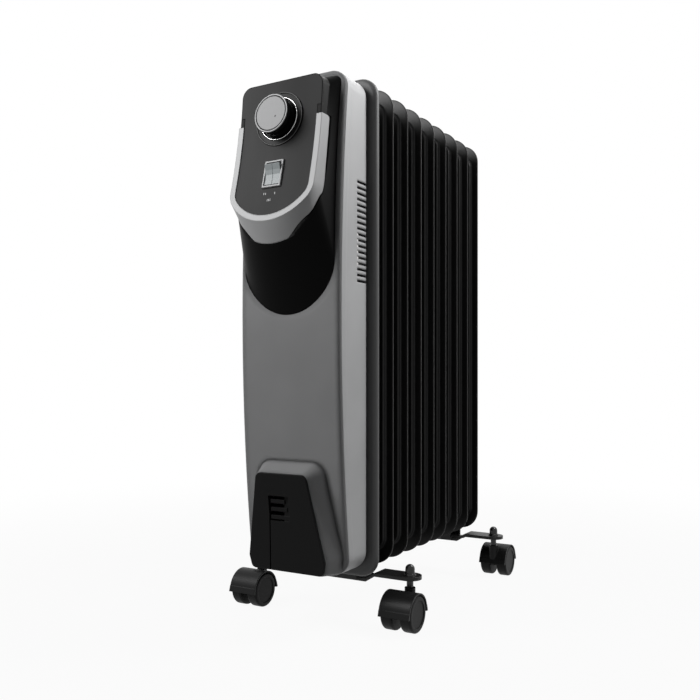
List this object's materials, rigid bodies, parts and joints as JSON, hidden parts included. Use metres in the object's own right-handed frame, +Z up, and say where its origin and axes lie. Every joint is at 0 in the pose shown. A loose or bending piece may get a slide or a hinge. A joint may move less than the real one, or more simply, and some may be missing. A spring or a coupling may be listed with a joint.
{
  "type": "oil filled radiator heater",
  "caption": "Oil filled radiator heater on twin-wheel casters, with ribbed steel modules, a bowed front housing, a dial knob and rocker switches.",
  "frame": {"origin": "centre of the bounding box in X and Y, on the floor under the wheels", "axes": "+X to the right seen from the control panel, across the symmetry plane; +Y from the control panel to the last module; +Z up, the longest extent"},
  "size_m": [0.2388, 0.4342, 0.6065],
  "materials": {
    "module_paint": "semi-gloss",
    "hub_paint": "semi-gloss",
    "shield_paint": "satin",
    "housing_paint": "satin",
    "cover_paint": "satin",
    "zinc": "zinc plated",
    "black_steel": "black zinc, satin",
    "knob_silver": "satin silver",
    "bright_steel": "polished",
    "black_plastic": "gloss",
    "cord_plate_plastic": "matte",
    "panel_plastic": "satin",
    "trim_silver": "silver metallised",
    "dial_print": "satin",
    "rocker_plastic": "gloss",
    "caster_plastic": "satin",
    "wheel_tread": "satin",
    "insulation": "matte",
    "gasket": "matte"
  },
  "bodies": {
    "heater": {"fin_1": "module_paint", "fin_2": "module_paint", "fin_3": "module_paint", "fin_4": "module_paint", "fin_5": "module_paint", "fin_6": "module_paint", "fin_7": "module_paint", "fin_8": "module_paint", "fin_9": "module_paint", "hub_rings": "hub_paint", "heating_element": "zinc", "oil_plug": "zinc", "element_gasket": "gasket", "front_shield": "shield_paint", "housing_screws": "zinc", "housing_shell": "housing_paint", "cord_gland": "black_plastic", "front_cover": "cover_paint", "cord_plate": "cord_plate_plastic", "trim_band": "trim_silver", "face_plate": "panel_plastic", "control_shroud": "black_plastic", "control_bracket": "zinc", "dial_ring": "dial_print", "thermostat_body": "insulation", "rocker_frame": "trim_silver", "rocker_pin": "bright_steel", "terminal_block": "insulation", "thermal_cutout": "zinc", "tip_switch_housing": "black_plastic", "front_foot_bracket": "hub_paint", "rear_foot_bracket": "hub_paint", "u_bolts": "black_steel", "clamp_nuts": "hub_paint", "caster_stems": "black_steel", "acorn_nuts": "black_steel"},
    "knob": {"knob_body": "black_plastic", "knob_ring": "trim_silver", "knob_cap": "knob_silver", "thermostat_shaft": "bright_steel"},
    "rocker_left": {"rocker_left": "rocker_plastic"},
    "rocker_right": {"rocker_right": "rocker_plastic"},
    "tip_pendulum": {"tip_switch_pendulum": "zinc"},
    "caster_fl": {"caster_hood_fl": "caster_plastic", "caster_axle_fl": "zinc"},
    "wheel_fl_in": {"caster_wheel_fl_in": "wheel_tread"},
    "wheel_fl_out": {"caster_wheel_fl_out": "wheel_tread"},
    "caster_fr": {"caster_hood_fr": "caster_plastic", "caster_axle_fr": "zinc"},
    "wheel_fr_in": {"caster_wheel_fr_in": "wheel_tread"},
    "wheel_fr_out": {"caster_wheel_fr_out": "wheel_tread"},
    "caster_rl": {"caster_hood_rl": "caster_plastic", "caster_axle_rl": "zinc"},
    "wheel_rl_in": {"caster_wheel_rl_in": "wheel_tread"},
    "wheel_rl_out": {"caster_wheel_rl_out": "wheel_tread"},
    "caster_rr": {"caster_hood_rr": "caster_plastic", "caster_axle_rr": "zinc"},
    "wheel_rr_in": {"caster_wheel_rr_in": "wheel_tread"},
    "wheel_rr_out": {"caster_wheel_rr_out": "wheel_tread"}
  },
  "joints": [
    {"name": "knob_turn", "type": "hinge", "parent": "heater", "child": "knob", "pos_m": [0, -0.18991, 0.5465], "axis": [0, 0.9916, -0.1295], "range_deg": [0, 270]},
    {"name": "rocker_left_tilt", "type": "hinge", "parent": "heater", "child": "rocker_left", "pos_m": [0, -0.19866, 0.48568], "axis": [1, 0, 0], "range_deg": [-22, 0]},
    {"name": "rocker_right_tilt", "type": "hinge", "parent": "heater", "child": "rocker_right", "pos_m": [0, -0.19866, 0.48568], "axis": [1, 0, 0], "range_deg": [-22, 0]},
    {"name": "tip_pendulum_swing", "type": "hinge", "parent": "heater", "child": "tip_pendulum", "pos_m": [0.0265, -0.14073, 0.10467], "axis": [0, 1, 0], "range_deg": [-7, 7]},
    {"name": "caster_fl_swivel", "type": "hinge", "parent": "heater", "child": "caster_fl", "pos_m": [-0.101, -0.08518, 0.0435], "axis": [0, 0, 1], "continuous": true},
    {"name": "wheel_fl_in_spin", "type": "hinge", "parent": "caster_fl", "child": "wheel_fl_in", "pos_m": [-0.101, -0.10218, 0.02], "axis": [1, 0, 0], "continuous": true},
    {"name": "wheel_fl_out_spin", "type": "hinge", "parent": "caster_fl", "child": "wheel_fl_out", "pos_m": [-0.101, -0.10218, 0.02], "axis": [1, 0, 0], "continuous": true},
    {"name": "caster_fr_swivel", "type": "hinge", "parent": "heater", "child": "caster_fr", "pos_m": [0.101, -0.08518, 0.0435], "axis": [0, 0, 1], "continuous": true},
    {"name": "wheel_fr_in_spin", "type": "hinge", "parent": "caster_fr", "child": "wheel_fr_in", "pos_m": [0.101, -0.10218, 0.02], "axis": [1, 0, 0], "continuous": true},
    {"name": "wheel_fr_out_spin", "type": "hinge", "parent": "caster_fr", "child": "wheel_fr_out", "pos_m": [0.101, -0.10218, 0.02], "axis": [1, 0, 0], "continuous": true},
    {"name": "caster_rl_swivel", "type": "hinge", "parent": "heater", "child": "caster_rl", "pos_m": [-0.101, 0.17591, 0.0435], "axis": [0, 0, 1], "continuous": true},
    {"name": "wheel_rl_in_spin", "type": "hinge", "parent": "caster_rl", "child": "wheel_rl_in", "pos_m": [-0.101, 0.19292, 0.02], "axis": [1, 0, 0], "continuous": true},
    {"name": "wheel_rl_out_spin", "type": "hinge", "parent": "caster_rl", "child": "wheel_rl_out", "pos_m": [-0.101, 0.19292, 0.02], "axis": [1, 0, 0], "continuous": true},
    {"name": "caster_rr_swivel", "type": "hinge", "parent": "heater", "child": "caster_rr", "pos_m": [0.101, 0.17591, 0.0435], "axis": [0, 0, 1], "continuous": true},
    {"name": "wheel_rr_in_spin", "type": "hinge", "parent": "caster_rr", "child": "wheel_rr_in", "pos_m": [0.101, 0.19292, 0.02], "axis": [1, 0, 0], "continuous": true},
    {"name": "wheel_rr_out_spin", "type": "hinge", "parent": "caster_rr", "child": "wheel_rr_out", "pos_m": [0.101, 0.19292, 0.02], "axis": [1, 0, 0], "continuous": true}
  ]
}
